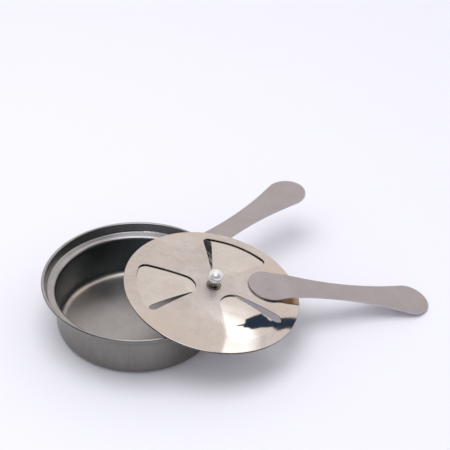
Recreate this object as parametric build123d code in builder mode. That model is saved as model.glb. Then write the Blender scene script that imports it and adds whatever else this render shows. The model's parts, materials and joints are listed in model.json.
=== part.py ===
from build123d import *
import os
from math import asin, cos, degrees, hypot, radians, sin, sqrt, tan

# Fuel burner pan with a loose regulating lid, in stainless sheet.
# Millimetres, +Z up.  The origin is the centre of the pan's base, on the surface it stands on.
# The lid leans on the pan: its middle lies on the rim, and the tip of its handle is on the surface.

# Pan bowl, from its rim inwards
rim_radius = 53.0
pan_height = 31.0
pan_sheet = 0.6
bead_radius = 0.9
collar_depth = 5.2
collar_lean = 1.4
ledge_width = 4.6
ledge_drop = 0.4
ledge_fillet = 2.4
collar_fillet = 0.9
wall_taper = 0.9
floor_fillet = 4.0

# Handle blank: round at both ends, narrow at the waist
handle_sheet = 0.8
handle_length = 109.2
handle_end_radius = 11.5
handle_waist = 6.5
weld_gap = 0.02
dimple_radius = 1.7
dimple_depth = 0.12
dimple_spacing = 9.0

# Pan handle: up the wall, out under the ledge, up past the bead, then out to its tip
pan_handle_azimuth = 45.3
pan_handle_tuck = 32.7
pan_handle_rise = 2.1
pan_handle_drop = 2.85
pan_pad_bottom = 4.5
bend_radius = 2.6
rim_clearance = 0.6
crank_run = 5.2

# Lid cover: flat seat, dome, turned-down lip; it fits inside the pan's collar
lid_fit = 0.4
lid_sheet = 0.5
lid_lip = 0.9
lid_rise = 4.4
lid_seat_radius = 12.0
lid_edge_round = 0.4
lid_lip_lean = 0.35

# Windows, the same in the lid and in the shutter
window_count = 3
window_border = 3.5
window_half_angle = 28.4
window_side_offset = 0.4
window_inner_round = 8.3
window_outer_round = 3.8
lid_window_turn = -1.6

# Lid handle
lid_handle_fall = 7.5
lid_handle_lift = 2.5
lid_pad_inset = 29.3
lid_contact_inset = 22.4
lid_crank_inset = 12.9
lid_crank_run = 7.0
lid_bend_radius = 12.0

# Where the lid leans: how far its middle is inside the rim and at what azimuth, which way it slopes
# down, how far its handle is turned from there, and its clearances at rest
lid_inset = 10.97
lid_azimuth = -10.0
lid_tilt_azimuth = -12.0
lid_handle_swing = 25.18
lid_rest_gap = 0.12
handle_pass_gap = 0.1
tip_rest_gap = 0.02

# Shutter: a disc under the lid; shutter_angle is how far it is turned from shut
shutter_inset = 3.4
shutter_sheet = 0.4
shutter_gap = 0.33
shutter_angle = -13.2

# Knob, washers and the stem through them
ball_radius = 4.1
ball_height = 6.1
neck_step = 0.5
foot_step = 1.35
foot_height = 1.0
stem_radius = 1.5
flat_depth = 0.3
stem_clearance = 0.05
key_clearance = 0.02
washer_gap = 0.04
knob_washer_radius = 4.1
knob_washer_sheet = 0.6
knob_washer_round = 0.25
spring_washer_radius = 3.2
spring_washer_sheet = 0.3
spring_washer_height = 0.7
back_washer_radius = 3.6
back_washer_sheet = 0.5
peen_step = 0.7
peen_height = 0.8


os.makedirs("parts", exist_ok=True)


def export_piece(builder, name):
    """Label a finished piece and write it."""
    builder.part.label = name
    export_step(builder.part, f"parts/{name}.step")


# ---- Radii, each from the one outside it ----
collar_radius = rim_radius - 2 * bead_radius - collar_lean
ledge_radius = collar_radius - ledge_width
lid_radius = collar_radius - lid_fit
shutter_radius = lid_radius - shutter_inset
window_outer_radius = shutter_radius - window_border

# ---- Handle blank ----
half_centres = handle_length / 2 - handle_end_radius
flank_radius = (half_centres**2 + handle_waist**2 - handle_end_radius**2) / (
    2 * (handle_end_radius - handle_waist)
)
flank_ratio = flank_radius / (flank_radius + handle_end_radius)
flank_reach = half_centres * flank_ratio
flank_width = (handle_waist + flank_radius) * (1 - flank_ratio)


def flank_half_width(distance):
    """Half-width of the blank at a distance from its waist."""
    return handle_waist + flank_radius - sqrt(flank_radius**2 - distance**2)


def cut_dimples(face_plane):
    """Two shallow spot-weld dimples; face_plane lies on the pad, z pointing out of the sheet."""
    with Locations(face_plane):
        with GridLocations(dimple_spacing, 0, 2, 1):
            Cone(
                bottom_radius=dimple_radius - dimple_depth,
                top_radius=dimple_radius + dimple_depth,
                height=2 * dimple_depth,
                mode=Mode.SUBTRACT,
            )


# ---- Pan bowl ----
wall_bottom_radius = ledge_radius - wall_taper
collar_bottom = pan_height - collar_depth
ledge_height = collar_bottom - ledge_drop
bead_centre = (rim_radius - bead_radius, pan_height - bead_radius)

with BuildPart() as pan_bowl:
    with BuildSketch(Plane.XZ):
        with BuildLine():
            inside = FilletPolyline(
                (0, pan_sheet),
                (wall_bottom_radius, pan_sheet),
                (ledge_radius, ledge_height),
                (collar_radius, collar_bottom),
                (bead_centre[0] - bead_radius, bead_centre[1]),
                radius=[floor_fillet, ledge_fillet, collar_fillet],
            )
            offset(inside, amount=pan_sheet, side=Side.RIGHT)
        make_face()
        with Locations(bead_centre):
            Circle(bead_radius)
    revolve(axis=Axis.Z)
export_piece(pan_bowl, "pan_bowl")


# ---- Pan handle ----
def wall_outside(height):
    """Outer radius of the pan's wall at a height."""
    slope = wall_taper / (ledge_height - pan_sheet)
    return wall_bottom_radius + slope * (height - pan_sheet) + pan_sheet * sqrt(1 + slope**2)


def pan_handle_height(radius):
    """Height of the middle of the handle's sheet beyond its crank."""
    return pan_height - pan_handle_drop + (radius - rim_radius) * tan(radians(pan_handle_rise))


pan_outward = Vector(cos(radians(pan_handle_azimuth)), sin(radians(pan_handle_azimuth)), 0)
pan_across = pan_outward.cross(Vector(0, 0, 1))
pan_side = Plane(origin=(0, 0, 0), x_dir=pan_outward, z_dir=pan_across)
pan_plan = Plane(origin=(0, 0, 0), x_dir=pan_outward, z_dir=(0, 0, 1))
pad_offset = weld_gap + handle_sheet / 2
bend_height = ledge_height - pan_sheet - rim_clearance - handle_sheet / 2
crank_start = collar_radius + pan_sheet + rim_clearance
crank_end = crank_start + crank_run
pad_centre_height = pan_pad_bottom + handle_end_radius
pad_top = bend_height - bend_radius
pad_top_width = sqrt(handle_end_radius**2 - (pad_top - pad_centre_height) ** 2)
pan_handle_tip = rim_radius + handle_length - pan_handle_tuck
pan_waist = pan_handle_tip - handle_length / 2
pad_face = Plane(origin=(0, 0, pad_centre_height), x_dir=-pan_across, z_dir=pan_outward)

with BuildPart() as pan_blank:
    with BuildSketch(pan_plan.offset(pad_top)):
        with BuildLine():
            root_radius = wall_outside(pad_top) - 1
            shoulder_width = flank_half_width(pan_waist - crank_end)
            tip_start = pan_waist + flank_reach
            Line((root_radius, -pad_top_width), (root_radius, pad_top_width))
            Line((root_radius, pad_top_width), (crank_end, shoulder_width))
            ThreePointArc((crank_end, shoulder_width), (pan_waist, handle_waist), (tip_start, flank_width))
            ThreePointArc((tip_start, flank_width), (pan_handle_tip, 0), (tip_start, -flank_width))
            ThreePointArc((tip_start, -flank_width), (pan_waist, -handle_waist), (crank_end, -shoulder_width))
            Line((crank_end, -shoulder_width), (root_radius, -pad_top_width))
        make_face()
    extrude(amount=pan_height)
    with BuildSketch(pad_face):
        Circle(handle_end_radius)
        with Locations((0, pad_top - pad_centre_height)):
            Rectangle(
                3 * handle_end_radius,
                2 * handle_end_radius,
                align=(Align.CENTER, Align.MIN),
                mode=Mode.SUBTRACT,
            )
    extrude(amount=rim_radius)

with BuildPart() as pan_handle:
    with BuildSketch(pan_side):
        with BuildLine():
            pan_handle_line = FilletPolyline(
                (wall_outside(0) + pad_offset, 0),
                (wall_outside(bend_height) + pad_offset, bend_height),
                (crank_start, bend_height),
                (crank_end, pan_handle_height(crank_end)),
                (pan_handle_tip + 1, pan_handle_height(pan_handle_tip + 1)),
                radius=bend_radius,
            )
        trace(pan_handle_line, handle_sheet)
    revolve(axis=Axis.Z)
    add(pan_blank.part, mode=Mode.INTERSECT)
    cut_dimples(pad_face.offset(wall_outside(pad_centre_height) + weld_gap + handle_sheet))
export_piece(pan_handle, "pan_handle")


# ---- Heights in the lid, from the bottom of its lip ----
seat_height = lid_lip + lid_rise
dome_span = lid_radius - lid_seat_radius
dome_radius = (dome_span**2 + lid_rise**2) / (2 * lid_rise)
bore_radius = stem_radius + stem_clearance
stem_step = seat_height - lid_sheet
shutter_height = stem_step - shutter_gap
shutter_base = shutter_height - shutter_sheet
shutter_dome = dome_radius - lid_sheet - shutter_gap
spring_top = shutter_base - washer_gap
back_top = spring_top - spring_washer_height - washer_gap
peen_top = back_top - back_washer_sheet - washer_gap
half_sheet = handle_sheet / 2
lid_pad_end = lid_radius - lid_pad_inset
lid_pad_contact = lid_radius - lid_contact_inset
lid_crank_start = lid_radius - lid_crank_inset
lid_crank_end = lid_crank_start + lid_crank_run
lid_handle_tip = lid_pad_end + handle_length
pad_slope = -tan(asin((lid_pad_contact - lid_seat_radius) / dome_radius))
arm_slope = -tan(radians(lid_handle_fall))


def dome_height(radius):
    """Height of the top of the dome."""
    return seat_height - dome_radius + sqrt(dome_radius**2 - (radius - lid_seat_radius) ** 2)


def pad_line_height(radius):
    """Height of the middle of the pad's sheet."""
    at_contact = dome_height(lid_pad_contact) + (weld_gap + half_sheet) * sqrt(1 + pad_slope**2)
    return at_contact + (radius - lid_pad_contact) * pad_slope


def arm_line_height(radius):
    """Height of the middle of the arm's sheet."""
    return lid_lip + lid_handle_lift + half_sheet + (radius - lid_radius) * arm_slope


def underside_height(radius):
    """Height of the lowest thing under the lid, at a radius up to the lip's."""
    if radius > lid_radius - lid_lip_lean - lid_sheet:
        return 0
    if radius > lid_seat_radius:
        under_dome = shutter_dome - shutter_sheet
        return shutter_base - under_dome + sqrt(under_dome**2 - (radius - lid_seat_radius) ** 2)
    if radius > back_washer_radius:
        return shutter_base
    return peen_top - peen_height


# ---- Where the lid comes to rest: on the pan, with the tip of its handle on the surface ----
lid_x = (rim_radius - lid_inset) * cos(radians(lid_azimuth))
lid_y = (rim_radius - lid_inset) * sin(radians(lid_azimuth))
slope_x = cos(radians(lid_tilt_azimuth))
slope_y = sin(radians(lid_tilt_azimuth))
swing = radians(lid_handle_swing)


def tip_height(height, tilt):
    """Lowest point of the round end of the lid's handle."""
    along = arm_slope * cos(tilt) - sin(tilt) * cos(swing)
    across = sin(tilt) * sin(swing)
    reach = lid_handle_tip - handle_end_radius
    arm_underside = arm_line_height(reach) - half_sheet * sqrt(1 + arm_slope**2)
    end_middle = height - reach * sin(tilt) * cos(swing) + arm_underside * cos(tilt)
    return end_middle - handle_end_radius * hypot(along, across)


def headroom(points, height, tilt):
    """Least room between the lid's underside and points on the pan."""
    rooms = [pan_height]
    for x, y, z in points:
        along = (x - lid_x) * slope_x + (y - lid_y) * slope_y
        across = (y - lid_y) * slope_x - (x - lid_x) * slope_y
        radius = hypot(along * cos(tilt) - (z - height) * sin(tilt), across)
        if radius < lid_radius:
            rooms.append(underside_height(radius) - along * sin(tilt) - (z - height) * cos(tilt))
    return min(rooms)


rim_points = []
for step in range(1440):
    point = Vector(rim_radius - bead_radius, 0, pan_height).rotate(Axis.Z, step / 4)
    rim_points.append((point.X, point.Y, point.Z))
handle_points = []
for step in range(240):
    radius = crank_end + step / 8
    for width in (-flank_half_width(pan_waist - radius), flank_half_width(pan_waist - radius)):
        top = pan_handle_height(hypot(radius, width)) + half_sheet
        point = Vector(radius, width, top).rotate(Axis.Z, pan_handle_azimuth)
        handle_points.append((point.X, point.Y, point.Z))

lid_height = pan_height
lid_tilt = 0
for step in range(12):
    rim_short = lid_rest_gap - headroom(rim_points, lid_height, lid_tilt)
    handle_short = handle_pass_gap - headroom(handle_points, lid_height, lid_tilt)
    lid_height += max(rim_short, handle_short)
    for settle in range(4):
        lid_tilt += (tip_height(lid_height, lid_tilt) - tip_rest_gap) / lid_handle_tip

# ---- Lid frame: x along the lid's handle, z out of its seat, origin at the middle of its lip ----
lid_centre = Vector(lid_x, lid_y, lid_height)
lid_up = Vector(sin(lid_tilt) * slope_x, sin(lid_tilt) * slope_y, cos(lid_tilt))
steepest = Vector(cos(lid_tilt) * slope_x, cos(lid_tilt) * slope_y, -sin(lid_tilt))
handle_direction = steepest.rotate(Axis((0, 0, 0), lid_up), lid_handle_swing)
lid_axis = Axis(lid_centre, lid_up)
lid_plane = Plane(origin=lid_centre, x_dir=handle_direction, z_dir=lid_up)
lid_side = Plane(origin=lid_centre, x_dir=handle_direction, z_dir=handle_direction.cross(lid_up))

with BuildSketch() as window:
    with BuildLine():
        corner_angle = window_half_angle - degrees(asin(window_side_offset / window_outer_radius))
        apex = Vector(window_side_offset / sin(radians(window_half_angle)), 0)
        corner = Vector(window_outer_radius, 0).rotate(Axis.Z, corner_angle)
        mirrored_corner = Vector(corner.X, -corner.Y)
        Polyline(mirrored_corner, apex, corner)
        ThreePointArc(corner, (window_outer_radius, 0), mirrored_corner)
    make_face()
    fillet(window.vertices().sort_by(Axis.X)[0], window_inner_round)
    fillet(window.vertices().group_by(Axis.X)[-1], window_outer_round)

# ---- Lid cover ----
with BuildPart() as lid_cover:
    with BuildSketch(lid_side) as lid_profile:
        with BuildLine():
            seat = Line((bore_radius, seat_height), (lid_seat_radius, seat_height))
            dome = TangentArc(seat @ 1, (lid_radius, lid_lip), tangent=(1, 0))
            lip_radius = lid_radius - lid_lip_lean
            lip = Polyline(dome @ 1, (lip_radius, 0), (lip_radius - lid_sheet, 0))
            under_seat = Line((bore_radius, stem_step), (lid_seat_radius, stem_step))
            under_arc = degrees(asin((dome_span - lid_sheet) / (dome_radius - lid_sheet)))
            under_dome = JernArc(under_seat @ 1, (1, 0), dome_radius - lid_sheet, -under_arc)
            Line(under_dome @ 1, lip @ 1)
            Line(seat @ 0, under_seat @ 0)
        make_face()
        fillet(lid_profile.vertices().sort_by_distance((lid_radius, lid_lip))[0], lid_edge_round)
    revolve(axis=lid_axis)
    with BuildSketch(lid_plane):
        with PolarLocations(0, window_count, start_angle=180 / window_count + lid_window_turn):
            add(window.sketch)
    extrude(amount=seat_height + 1, mode=Mode.SUBTRACT)
export_piece(lid_cover, "lid_cover")


# ---- Lid handle ----
lid_waist = lid_handle_tip - handle_length / 2
lid_pad_middle = lid_pad_end + handle_end_radius
pad_normal = lid_up - handle_direction * pad_slope
pad_top_point = Vector(lid_pad_middle, 0, pad_line_height(lid_pad_middle) + half_sheet)
lid_pad_face = Plane(
    origin=lid_plane.from_local_coords(pad_top_point), x_dir=lid_side.z_dir, z_dir=pad_normal
)

with BuildPart() as lid_blank:
    with BuildSketch(lid_plane.offset(-pan_height)):
        with BuildLine():
            near = lid_waist - flank_reach
            far = lid_waist + flank_reach
            ThreePointArc((near, flank_width), (lid_waist, handle_waist), (far, flank_width))
            ThreePointArc((far, flank_width), (lid_handle_tip, 0), (far, -flank_width))
            ThreePointArc((far, -flank_width), (lid_waist, -handle_waist), (near, -flank_width))
            ThreePointArc((near, -flank_width), (lid_pad_end, 0), (near, flank_width))
        make_face()
    extrude(amount=2 * pan_height)

with BuildPart() as lid_handle:
    with BuildSketch(lid_side):
        with BuildLine():
            lid_handle_line = FilletPolyline(
                (lid_pad_end - 1, pad_line_height(lid_pad_end - 1)),
                (lid_crank_start, pad_line_height(lid_crank_start)),
                (lid_crank_end, arm_line_height(lid_crank_end)),
                (lid_handle_tip + 1, arm_line_height(lid_handle_tip + 1)),
                radius=lid_bend_radius,
            )
        trace(lid_handle_line, handle_sheet)
    extrude(amount=2 * handle_end_radius, both=True)
    add(lid_blank.part, mode=Mode.INTERSECT)
    cut_dimples(lid_pad_face)
export_piece(lid_handle, "lid_handle")

# ---- Knob washer, fixed on the seat ----
with BuildPart() as knob_washer:
    with BuildSketch(lid_plane.offset(seat_height + weld_gap)):
        Circle(knob_washer_radius)
        Circle(bore_radius, mode=Mode.SUBTRACT)
    extrude(amount=knob_washer_sheet)
    fillet(
        knob_washer.edges().filter_by(GeomType.CIRCLE).group_by(SortBy.RADIUS)[-1],
        knob_washer_round,
    )
export_piece(knob_washer, "knob_washer")

# ---- Shutter plate, turned under the lid by the knob ----
shutter_plane = Plane(
    origin=lid_centre,
    x_dir=handle_direction.rotate(Axis((0, 0, 0), lid_up), shutter_angle),
    z_dir=lid_up,
)
key_half_width = stem_radius - flat_depth + key_clearance
key_round = stem_radius + key_clearance

with BuildPart() as shutter_plate:
    with BuildSketch(lid_side):
        with BuildLine():
            shutter_arc = degrees(asin((shutter_radius - lid_seat_radius) / shutter_dome))
            top_seat = Line((0, shutter_height), (lid_seat_radius, shutter_height))
            top_dome = JernArc(top_seat @ 1, (1, 0), shutter_dome, -shutter_arc)
            low_seat = Line((0, shutter_base), (lid_seat_radius, shutter_base))
            low_dome = JernArc(low_seat @ 1, (1, 0), shutter_dome - shutter_sheet, -shutter_arc)
            Line(top_dome @ 1, low_dome @ 1)
            Line(top_seat @ 0, low_seat @ 0)
        make_face()
    revolve(axis=lid_axis)
    with BuildSketch(shutter_plane):
        with PolarLocations(0, window_count):
            add(window.sketch)
    extrude(amount=seat_height + 1, mode=Mode.SUBTRACT)
    with BuildSketch(shutter_plane):
        Circle(key_round)
        Rectangle(2 * key_half_width, 4 * key_round, mode=Mode.INTERSECT)
    extrude(amount=seat_height + 1, mode=Mode.SUBTRACT)
export_piece(shutter_plate, "shutter_plate")

# ---- Knob with its stem, flatted below the lid and peened over ----
foot_base = seat_height + weld_gap + knob_washer_sheet + washer_gap
ball_centre = seat_height + ball_height
neck_radius = stem_radius + neck_step
foot_radius = stem_radius + foot_step
peen_radius = stem_radius + peen_step
neck_top = ball_centre - sqrt(ball_radius**2 - neck_radius**2)

with BuildPart() as shutter_knob:
    with BuildSketch(lid_side):
        with BuildLine():
            Line((0, ball_centre + ball_radius), (0, stem_step))
            Polyline(
                (0, stem_step),
                (stem_radius, stem_step),
                (stem_radius, foot_base),
                (foot_radius, foot_base),
                (foot_radius, foot_base + foot_height / 2),
                (neck_radius, foot_base + foot_height),
                (neck_radius, neck_top),
            )
            ThreePointArc(
                (neck_radius, neck_top),
                (ball_radius, ball_centre),
                (0, ball_centre + ball_radius),
            )
        make_face()
        with BuildLine():
            Polyline((0, peen_top), (peen_radius, peen_top), (peen_radius, peen_top - peen_height / 3))
            TangentArc(
                (0, peen_top - peen_height),
                (peen_radius, peen_top - peen_height / 3),
                tangent=(1, 0),
            )
            Line((0, peen_top - peen_height), (0, peen_top))
        make_face()
    revolve(axis=lid_axis)
    with BuildSketch(shutter_plane.offset(peen_top)):
        Circle(stem_radius)
        Rectangle(2 * (stem_radius - flat_depth), 4 * stem_radius, mode=Mode.INTERSECT)
    extrude(amount=stem_step - peen_top)
export_piece(shutter_knob, "shutter_knob")

# ---- Spring washer: a shallow cone pressing the shutter up ----
with BuildPart() as spring_washer:
    with BuildSketch(lid_side):
        with BuildLine():
            cone_rise = spring_washer_height - spring_washer_sheet
            Polyline(
                (bore_radius, spring_top - spring_washer_sheet),
                (bore_radius, spring_top),
                (spring_washer_radius, spring_top - cone_rise),
                (spring_washer_radius, spring_top - spring_washer_height),
                close=True,
            )
        make_face()
    revolve(axis=lid_axis)
export_piece(spring_washer, "spring_washer")

# ---- Back washer under the spring washer ----
with BuildPart() as back_washer:
    with BuildSketch(lid_plane.offset(back_top - back_washer_sheet)):
        Circle(back_washer_radius)
        Circle(bore_radius, mode=Mode.SUBTRACT)
    extrude(amount=back_washer_sheet)
export_piece(back_washer, "back_washer")
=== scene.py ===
import json
import math

import bpy
from mathutils import Matrix, Vector


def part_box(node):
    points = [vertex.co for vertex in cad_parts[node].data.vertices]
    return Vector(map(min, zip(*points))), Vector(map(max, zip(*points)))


# Fuel burner pan with a loose regulating lid, in stainless steel. Metres, +Z up.

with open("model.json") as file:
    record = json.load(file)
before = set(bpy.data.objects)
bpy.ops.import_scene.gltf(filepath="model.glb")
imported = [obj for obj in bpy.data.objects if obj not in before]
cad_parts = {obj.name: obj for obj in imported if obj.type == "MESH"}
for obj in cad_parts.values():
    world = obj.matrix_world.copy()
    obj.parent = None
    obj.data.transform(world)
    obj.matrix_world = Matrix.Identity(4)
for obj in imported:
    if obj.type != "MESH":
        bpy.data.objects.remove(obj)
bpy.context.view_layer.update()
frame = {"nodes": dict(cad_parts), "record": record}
scene = bpy.context.scene

# the way the lid faces, the washer at its middle, and the knob's ball above it
joints = {joint["name"]: joint for joint in frame["record"]["behaviour"]["joints"]}
lidUp = Vector(joints["shutter_turn"]["axis"]).normalized()
lidMiddle = sum(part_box("knob_washer"), Vector()) / 2
knobLow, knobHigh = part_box("shutter_knob")
ballRadius = (knobHigh.x - knobLow.x) / 2
ballMiddle = knobHigh - Vector((ballRadius, ballRadius, ballRadius))


def sayStage(text):
    print("stage:", text)


class Wire:
    # a node's output that can be used in sums
    def __init__(self, finish, socket):
        self.finish = finish
        self.socket = socket

    def other(self, output):
        return Wire(self.finish, self.socket.node.outputs[output])

    def __add__(self, right):
        return self.finish.maths("ADD", self, right)

    def __radd__(self, left):
        return self.finish.maths("ADD", left, self)

    def __sub__(self, right):
        return self.finish.maths("SUBTRACT", self, right)

    def __rsub__(self, left):
        return self.finish.maths("SUBTRACT", left, self)

    def __mul__(self, right):
        return self.finish.maths("MULTIPLY", self, right)

    def __rmul__(self, left):
        return self.finish.maths("MULTIPLY", left, self)

    def __truediv__(self, right):
        return self.finish.maths("DIVIDE", self, right)

    def __rtruediv__(self, left):
        return self.finish.maths("DIVIDE", left, self)


class Finish:
    # the nodes of one material, or of the world
    def __init__(self, block):
        self.block = block
        self.block.use_nodes = True
        self.tree = self.block.node_tree
        self.tree.nodes.clear()

    def node(self, kind, settings=None, inputs=None, output=0):
        made = self.tree.nodes.new("ShaderNode" + kind)
        for name, value in (settings or {}).items():
            setattr(made, name, value)
        for name, value in (inputs or {}).items():
            slot = made.inputs[name]
            if isinstance(value, Wire):
                self.tree.links.new(value.socket, slot)
            elif slot.type == "RGBA":
                slot.default_value = (*value, 1.0)
            else:
                slot.default_value = value
        return Wire(self, made.outputs[output]) if made.outputs else made

    def maths(self, operation, first, second=0.0):
        return self.node("Math", {"operation": operation}, {0: first, 1: second})

    def vectors(self, operation, *parts, output="Value"):
        return self.node("VectorMath", {"operation": operation}, dict(enumerate(parts)), output)

    def where(self):
        return self.node("TexCoord", output="Object")

    def facing(self):
        return self.node("NewGeometry", output="Normal")

    def split(self, vector):
        x = self.node("SeparateXYZ", inputs={"Vector": vector}, output="X")
        return x, x.other("Y"), x.other("Z")

    def noise(self, at, scale, detail=3.0, rough=0.6):
        inputs = {"Vector": at, "Scale": scale, "Detail": detail, "Roughness": rough}
        return self.node("TexNoise", inputs=inputs)

    def mixColour(self, share, low, high):
        inputs = {"Factor": share, "A": low, "B": high}
        return self.node("Mix", {"data_type": "RGBA"}, inputs, output="Result")

    def ease(self, value, low, high, atLow=0.0, atHigh=1.0):
        inputs = {"Value": value, "From Min": low, "From Max": high}
        inputs.update({"To Min": atLow, "To Max": atHigh})
        return self.node("MapRange", inputs=inputs)

    def follow(self, noise, low, high):
        # most of a noise lies between 0.3 and 0.7
        return self.ease(noise, 0.3, 0.7, low, high)

    def bump(self, height, strength, distance):
        inputs = {"Height": height, "Strength": strength, "Distance": distance}
        return self.node("Bump", inputs=inputs)

    def surface(self, inputs):
        shader = self.node("BsdfPrincipled", inputs=inputs)
        self.node("OutputMaterial", inputs={"Surface": shader})
        return self.block


def newFinish(name):
    return Finish(bpy.data.materials.new(name))


def bowlSteel():
    # drawn sheet: a cloudy floor with a lighter warm ring round its edge, partly heat tint and
    # partly painted reflection, a ledge and collar nearly as pale, fine streaks up walls painted
    # darker as shade, and an outside painted darker and browner as shade
    look = {
        "floorDark": (0.445, 0.433, 0.443),
        "floorLight": (0.575, 0.561, 0.572),
        "floorRough": 0.34,
        "floorHeights": (0.0012, 0.004),  # the floor's tones end between these
        # a lighter warm ring round the floor's edge: partly heat tint, partly a painted reflection
        # that brightens the floor's edge
        "heatTintAndSheen": (0.66, 0.565, 0.505),
        "heatTintAndSheenScale": 32.0,
        "heatTintAndSheenNoise": (0.42, 0.62),
        "heatTintAndSheenAcross": (0.027, 0.042),  # from the middle outwards
        "ledgeDark": (0.415, 0.412, 0.424),
        "ledgeLight": (0.535, 0.531, 0.546),
        "rough": 0.30,
        # the inside walls are painted darker than the floor and ledge: painted shade
        "wallDark": (0.175, 0.205, 0.212),
        "wallLight": (0.230, 0.265, 0.274),
        "wallUpward": (0.75, 0.35),  # how far up the ledge and the wall face
        "collarHeights": (0.0271, 0.0261),  # the wall's tones end between these
        # the outside is painted darker than the inside: painted shade
        "outsideDark": (0.202, 0.190, 0.178),
        "outsideLight": (0.272, 0.257, 0.241),
        "outsideRough": 0.31,
        "outsideOutward": (0.35, 0.75),
        "roughSpread": (-0.03, 0.05),
        "streakScale": 60.0,
        "streakTurn": 0.55,
        "streakRise": 0.9,
        "cloudScale": 60.0,
        "speckScale": 1500.0,
        "markShare": 0.4,
        "cloudShare": 0.3,
        "speckShare": 0.3,
        "toneNoise": (0.38, 0.62),
        "grit": 0.12,
        "gritDepth": 0.00003,
    }
    finish = newFinish("bowlSteel")
    at = finish.where()
    x, y, z = finish.split(at)
    turn = finish.maths("ARCTAN2", y, x)
    upWall = {"X": turn * look["streakTurn"], "Z": z * look["streakRise"]}
    streak = finish.noise(finish.node("CombineXYZ", inputs=upWall), look["streakScale"])
    cloud = finish.noise(at, look["cloudScale"], detail=4.0)
    speck = finish.noise(at, look["speckScale"], detail=2.0)

    facing = finish.facing()
    wall = finish.ease(finish.split(facing)[2], *look["wallUpward"])
    flat = finish.vectors("MULTIPLY", at, (1.0, 1.0, 0.0), output="Vector")
    outward = finish.vectors("NORMALIZE", flat, output="Vector")
    outside = finish.ease(finish.vectors("DOT_PRODUCT", facing, outward), *look["outsideOutward"])
    aboveFloor = finish.ease(z, *look["floorHeights"])
    belowCollar = finish.ease(z, *look["collarHeights"])

    marks = (streak * wall + cloud * (1.0 - wall)) * look["markShare"]
    marks = marks + cloud * look["cloudShare"] + speck * look["speckShare"]
    tone = finish.ease(marks, *look["toneNoise"])
    # the floor's lighter warm outer ring: partly heat tint, partly painted reflection
    heatTintAndSheen = finish.ease(finish.noise(at, look["heatTintAndSheenScale"]), *look["heatTintAndSheenNoise"])
    heatTintAndSheen = heatTintAndSheen * finish.ease(finish.vectors("LENGTH", flat), *look["heatTintAndSheenAcross"])
    floor = finish.mixColour(tone, look["floorDark"], look["floorLight"])
    floor = finish.mixColour(heatTintAndSheen, floor, look["heatTintAndSheen"])
    ledge = finish.mixColour(tone, look["ledgeDark"], look["ledgeLight"])
    # the inside walls' colour, painted darker as shade
    paintedShadeWalls = finish.mixColour(tone, look["wallDark"], look["wallLight"])
    inner = finish.mixColour(aboveFloor, floor, ledge)
    inner = finish.mixColour(wall * belowCollar, inner, paintedShadeWalls)
    # the outside's colour, painted darker as shade
    paintedShadeOutside = finish.mixColour(tone, look["outsideDark"], look["outsideLight"])

    rough = finish.ease(aboveFloor, 0.0, 1.0, look["floorRough"], look["rough"])
    rough = rough + outside * (look["outsideRough"] - rough)
    return finish.surface({
        "Base Color": finish.mixColour(outside, inner, paintedShadeOutside),
        "Metallic": 1.0,
        "Roughness": rough + finish.follow(cloud, *look["roughSpread"]),
        "Normal": finish.bump(speck, look["grit"], look["gritDepth"]),
    })


def handleSteel():
    # tumbled sheet: an even mauve grey with a faint grit, and golden heat marks below the weld
    look = {
        "dark": (0.467, 0.434, 0.458),
        "light": (0.562, 0.528, 0.553),
        "rough": (0.40, 0.50),
        "heatTintAndSheen": (0.72, 0.53, 0.28),
        "heatedUpward": (-0.4, -0.8),  # only on the underside
        "heatTintAndSheenAcross": (0.064, 0.046),  # from the knob
        "cloudScale": 70.0,
        "speckScale": 1900.0,
        "cloudShare": 0.6,
        "speckShare": 0.4,
        "toneNoise": (0.36, 0.64),
        "grit": 0.18,
        "gritDepth": 0.00003,
    }
    finish = newFinish("handleSteel")
    at = finish.where()
    cloud = finish.noise(at, look["cloudScale"], detail=4.0)
    speck = finish.noise(at, look["speckScale"], detail=2.0)
    marks = cloud * look["cloudShare"] + speck * look["speckShare"]
    tone = finish.ease(marks, *look["toneNoise"])
    upward = finish.vectors("DOT_PRODUCT", finish.facing(), lidUp)
    fromKnob = finish.vectors("DISTANCE", at, lidMiddle)
    heatTintAndSheen = finish.ease(upward, *look["heatedUpward"])
    heatTintAndSheen = heatTintAndSheen * finish.ease(fromKnob, *look["heatTintAndSheenAcross"])
    colour = finish.mixColour(tone, look["dark"], look["light"])
    return finish.surface({
        "Base Color": finish.mixColour(heatTintAndSheen, colour, look["heatTintAndSheen"]),
        "Metallic": 1.0,
        "Roughness": finish.follow(cloud, *look["rough"]),
        "Normal": finish.bump(speck, look["grit"], look["gritDepth"]),
    })


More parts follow.
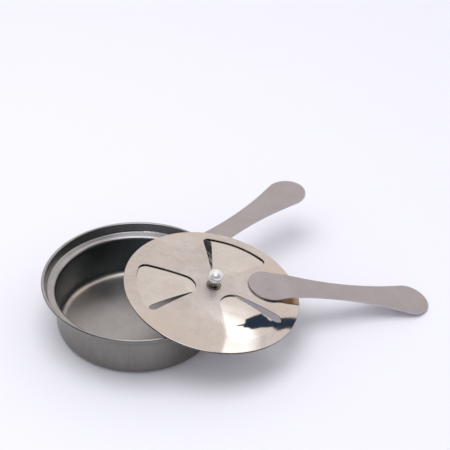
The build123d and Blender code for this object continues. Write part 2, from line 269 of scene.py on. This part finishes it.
def polishedSteel(name, ownLook):
    # buffed sheet: a slow waviness that bends what it mirrors, rubbed and hazy tones, faint stains
    # further out, a duller middle round the knob, and rougher cut edges and lip painted darker as
    # shade, darkest at the lip
    look = {
        "cloudScale": 38.0,
        "rubbedScale": 210.0,
        "hazeScale": 1500.0,
        "cloudShare": 0.4,
        "rubbedShare": 0.35,
        "hazeShare": 0.25,
        "toneNoise": (0.40, 0.60),
        "stainScale": 30.0,
        "stainNoise": (0.42, 0.66),
        "stainAcross": (0.022, 0.044),  # these three from the knob
        "middleAcross": (0.030, 0.008),
        "lipAcross": (0.0460, 0.0485),
        "edgeUpward": (0.80, 0.45),
        "edgeRough": 0.25,
        "wave": 0.12,
        "waveDepth": 0.0004,
        **ownLook,
    }
    finish = newFinish(name)
    at = finish.where()
    cloud = finish.noise(at, look["cloudScale"], detail=4.0)
    rubbed = finish.noise(at, look["rubbedScale"], detail=4.0, rough=0.7)
    haze = finish.noise(at, look["hazeScale"], detail=2.0)
    wave = finish.noise(at, look["waveScale"], detail=1.0, rough=0.4)

    upward = finish.vectors("DOT_PRODUCT", finish.facing(), lidUp)
    # sideways faces: rougher, and painted darker as shade
    dullAndShadedSides = finish.ease(finish.maths("ABSOLUTE", upward), *look["edgeUpward"])
    fromKnob = finish.vectors("DISTANCE", at, lidMiddle)
    middle = finish.ease(fromKnob, *look["middleAcross"])

    marks = cloud * look["cloudShare"] + rubbed * look["rubbedShare"] + haze * look["hazeShare"]
    tone = finish.ease(marks, *look["toneNoise"])
    stained = finish.ease(finish.noise(at, look["stainScale"]), *look["stainNoise"])
    stained = stained * finish.ease(fromKnob, *look["stainAcross"])
    colour = finish.mixColour(tone, look["dark"], look["light"])
    colour = finish.mixColour(stained, colour, look["stain"])
    # the painted shade on the cut edges and the lip's side, darkest at the lip
    edge = finish.mixColour(finish.ease(fromKnob, *look["lipAcross"]), look["edge"], look["lip"])

    rough = finish.follow(cloud * 0.5 + haze * 0.5, *look["rough"])
    rough = rough + middle * look["middleRough"] + dullAndShadedSides * look["edgeRough"]
    return finish.surface({
        "Base Color": finish.mixColour(dullAndShadedSides, colour, edge),
        "Metallic": 1.0,
        "Roughness": rough,
        "Normal": finish.bump(wave, look["wave"], look["waveDepth"]),
    })


def knobSteel():
    # a bright ball, pearly with handling, on a darker stem and foot
    look = {
        "dark": (0.84, 0.84, 0.85),
        "light": (0.96, 0.96, 0.97),
        "metal": 0.55,
        "rough": (0.16, 0.24),
        "cloudScale": 300.0,
        "toneNoise": (0.35, 0.65),
        "stem": (0.24, 0.220, 0.200),
        "stemStart": 0.0002,  # past the ball's surface
        "stemFull": 0.0006,
    }
    finish = newFinish("knobSteel")
    at = finish.where()
    cloud = finish.noise(at, look["cloudScale"])
    tone = finish.ease(cloud, *look["toneNoise"])
    fromBall = finish.vectors("DISTANCE", at, ballMiddle)
    stem = finish.ease(fromBall, ballRadius + look["stemStart"], ballRadius + look["stemFull"])
    ball = finish.mixColour(tone, look["dark"], look["light"])
    return finish.surface({
        "Base Color": finish.mixColour(stem, ball, look["stem"]),
        "Metallic": finish.ease(stem, 0.0, 1.0, look["metal"], 1.0),
        "Roughness": finish.follow(cloud, *look["rough"]),
    })


def washerSteel(name, ownLook):
    # one cloudy tone
    look = {"cloudScale": 300.0, "toneNoise": (0.35, 0.65), **ownLook}
    finish = newFinish(name)
    cloud = finish.noise(finish.where(), look["cloudScale"])
    tone = finish.ease(cloud, *look["toneNoise"])
    return finish.surface({
        "Base Color": finish.mixColour(tone, look["dark"], look["light"]),
        "Metallic": 1.0,
        "Roughness": finish.follow(cloud, *look["rough"]),
    })


lidLook = {
    "dark": (0.630, 0.588, 0.568),
    "light": (0.785, 0.750, 0.742),
    "stain": (0.728, 0.652, 0.604),
    # cut edges and the lip's side are painted darker as shade
    "edge": (0.32, 0.290, 0.268),
    "lip": (0.13, 0.115, 0.105),
    "rough": (0.035, 0.07),
    "middleRough": 0.44,
    "waveScale": 26.0,
}
shutterLook = {
    "dark": (0.710, 0.672, 0.642),
    "light": (0.835, 0.803, 0.777),
    "stain": (0.770, 0.725, 0.685),
    # cut edges are painted darker as shade
    "edge": (0.30, 0.28, 0.26),
    "lip": (0.30, 0.28, 0.26),
    "rough": (0.02, 0.055),
    "middleRough": 0.0,
    "waveScale": 34.0,
}
knobWasherLook = {
    "dark": (0.17, 0.145, 0.12),
    "light": (0.27, 0.235, 0.20),
    "rough": (0.192, 0.288),
}
springWasherLook = {
    "dark": (0.38, 0.37, 0.36),
    "light": (0.47, 0.46, 0.45),
    "rough": (0.28, 0.42),
}

handleFinish = handleSteel()
springFinish = washerSteel("springSteel", springWasherLook)
finishes = {
    "pan_bowl": bowlSteel(),
    "pan_handle": handleFinish,
    "lid_cover": polishedSteel("lidSteel", lidLook),
    "lid_handle": handleFinish,
    "knob_washer": washerSteel("darkWasher", knobWasherLook),
    "shutter_plate": polishedSteel("shutterSteel", shutterLook),
    "shutter_knob": knobSteel(),
    "spring_washer": springFinish,
    "back_washer": springFinish,
}
for nodeName, piece in frame["nodes"].items():
    piece.data.materials.clear()
    piece.data.materials.append(finishes[nodeName])
sayStage("finishes on the steel pieces")


def makeFloor():
    look = {
        "width": 6.0,
        "centre": (0.05, 0.0, 0.0),
        "colour": (0.905, 0.900, 0.965),
        "rough": 0.9,
    }
    bpy.ops.mesh.primitive_plane_add(size=look["width"], location=look["centre"])
    floor = bpy.context.object
    floor.name = "floor"
    paper = {"Base Color": look["colour"], "Roughness": look["rough"]}
    floor.data.materials.append(newFinish("floorPaper").surface(paper))


def makeWorld():
    look = {"colour": (0.97, 0.97, 1.0), "strength": 0.70}
    scene.world = bpy.data.worlds.new("World")
    finish = Finish(scene.world)
    sky = {"Color": look["colour"], "Strength": look["strength"]}
    finish.node("OutputWorld", inputs={"Surface": finish.node("Background", inputs=sky)})


def makeStudioDome():
    # what the polished steel mirrors: a warm wall ahead, a darker room behind, a bright window high
    # on the right, something dark with a thin tail in front of it, and a softbox
    look = {
        "radius": 2.0,
        "centre": (0.045, 0.0, 0.02),
        "segments": 64,
        "rings": 32,
        "wall": (0.82, 0.760, 0.720),
        "room": (0.10, 0.112, 0.122),
        "roomFrom": (0.25, -0.35),  # along Y
        "window": (1.50, 1.48, 1.47),
        "haze": (1.06, 1.00, 0.97),  # low in the window
        "hazeHeights": (45.5, 49.0),
        "dark": (0.027, 0.043, 0.074),
        "softbox": (2.2, 2.2, 2.25),
        "softboxAt": (-0.08, -0.70, 1.87),
        "softboxAcross": (0.85, 0.65),  # from its middle
        "ragScale": 28.0,
        "rag": 1.6,
        # Headings go from +Y towards +X and heights from the floor up, both in degrees. A patch
        # lies inside all of its sides. A side gives the shares of heading, height and ragged
        # noise that are summed, the sum where the patch begins, and how soft that edge is.
        "windowSides": (
            (1.0, -1.6, 0.0, -53.2, 0.9),
            (-0.5, 1.0, 0.0, 27.2, 2.3),
            (0.0, 1.0, 0.0, 42.5, 2.0),
            (-1.0, 0.0, 0.0, -58.0, 6.0),
            (0.0, -1.0, 0.0, -76.0, 6.0),
        ),
        "darkTopSides": (
            (0.0, 1.0, 0.0, 40.6, 0.15),
            (1.0, 0.29, 1.0, 45.1, 0.15),
            (0.95, -1.0, 1.0, -15.4, 0.15),
            (-0.41, -1.0, 1.0, -63.4, 0.2),
            (-2.0, -1.0, 1.0, -124.6, 0.4),
        ),
        "darkFootSides": (
            (1.0, 0.316, 0.4, 50.9, 0.15),
            (-1.0, -0.082, 0.4, -47.6, 0.15),
            (0.0, -1.0, 0.0, -41.8, 0.5),
        ),
        # the dark shape's thin tail, in heading and height
        "tailStart": (34.9, 47.2),
        "tailWay": (-0.53, 0.85),
        "tailLength": 3.2,
        "tailHalfWidth": 0.6,
        "tailTaper": 0.08,
        "tailSoft": (0.3, 0.4, 0.12),  # at its start, its end and its sides
    }
    bpy.ops.mesh.primitive_uv_sphere_add(
        segments=look["segments"],
        ring_count=look["rings"],
        radius=look["radius"],
        location=look["centre"],
    )
    dome = bpy.context.object
    dome.name = "studioDome"
    finish = newFinish("studioDome")
    at = finish.where()
    x, y, z = finish.split(at)
    inDegrees = 180.0 / math.pi
    heading = finish.maths("ARCTAN2", x, y) * inDegrees
    height = finish.maths("ARCSINE", z / look["radius"]) * inDegrees
    ragged = (finish.noise(at, look["ragScale"]) - 0.5) * look["rag"]

    def beyond(value, edge, soft):
        return finish.ease(value, edge - soft, edge + soft)

    def patch(sides):
        share = 1.0
        for byHeading, byHeight, byRag, edge, soft in sides:
            value = heading * byHeading + height * byHeight + ragged * byRag
            share = share * beyond(value, edge, soft)
        return share

    turned = heading - look["tailStart"][0]
    raised = height - look["tailStart"][1]
    turnedWay, raisedWay = look["tailWay"]
    along = raised * raisedWay + turned * turnedWay
    across = finish.maths("ABSOLUTE", turned * raisedWay - raised * turnedWay)
    startSoft, endSoft, sideSoft = look["tailSoft"]
    tail = beyond(along, 0.0, startSoft) * beyond(0.0 - along, -look["tailLength"], endSoft)
    narrowing = 0.0 - across - along * look["tailTaper"]
    tail = tail * beyond(narrowing, -look["tailHalfWidth"], sideSoft)

    shade = finish.maths("MAXIMUM", patch(look["darkTopSides"]), patch(look["darkFootSides"]))
    shade = finish.maths("MAXIMUM", shade, tail)
    inHaze = finish.ease(height, *look["hazeHeights"])
    glare = finish.mixColour(inHaze, look["haze"], look["window"])
    fromSoftbox = finish.vectors("DISTANCE", at, look["softboxAt"])
    inSoftbox = finish.ease(fromSoftbox, *look["softboxAcross"])
    tone = finish.mixColour(finish.ease(y, *look["roomFrom"]), look["wall"], look["room"])
    tone = finish.mixColour(patch(look["windowSides"]), tone, glare)
    tone = finish.mixColour(shade, tone, look["dark"])
    tone = finish.mixColour(inSoftbox, tone, look["softbox"])
    glow = finish.node("Emission", inputs={"Color": tone, "Strength": 1.0})
    finish.node("OutputMaterial", inputs={"Surface": glow})
    dome.data.materials.append(finish.block)
    for rays in ("camera", "diffuse", "transmission", "volume_scatter", "shadow"):
        setattr(dome, "visible_" + rays, False)  # only glossy rays see it


def makeKeyLamp():
    look = {
        "spot": (-0.16, -0.04, 1.15),
        "target": (0.04, 0.0, 0.02),
        "width": 0.9,
        "watts": 6.2,
    }
    lamp = bpy.data.lights.new("keyLamp", "AREA")
    lamp.shape = "SQUARE"
    lamp.size = look["width"]
    lamp.energy = look["watts"]
    holder = bpy.data.objects.new("keyLamp", lamp)
    scene.collection.objects.link(holder)
    holder.location = look["spot"]
    aim = Vector(look["target"]) - Vector(look["spot"])
    holder.rotation_euler = aim.to_track_quat("-Z", "Y").to_euler()
    holder.visible_glossy = False


makeFloor()
makeWorld()
makeStudioDome()
makeKeyLamp()
sayStage("floor and lamps")


def makeCamera():
    # angles in degrees; it looks along +Y and down
    look = {
        "lens": 160.0,
        "sensor": 36.0,
        "nearest": 0.01,
        "spot": (0.048167, -0.862743, 0.721134),
        "elevation": 37.056,
        "heading": -0.018,
        "roll": 1.221,
    }
    lens = bpy.data.cameras.new("camera")
    lens.lens = look["lens"]
    lens.sensor_width = look["sensor"]
    lens.clip_start = look["nearest"]
    holder = bpy.data.objects.new("camera", lens)
    scene.collection.objects.link(holder)
    turn = (
        Matrix.Rotation(math.radians(-look["heading"]), 4, "Z")
        @ Matrix.Rotation(math.radians(90.0 - look["elevation"]), 4, "X")
        @ Matrix.Rotation(math.radians(look["roll"]), 4, "Z")
    )
    holder.matrix_world = Matrix.Translation(look["spot"]) @ turn
    scene.camera = holder


makeCamera()
scene.view_settings.view_transform = "Standard"
sayStage("camera")
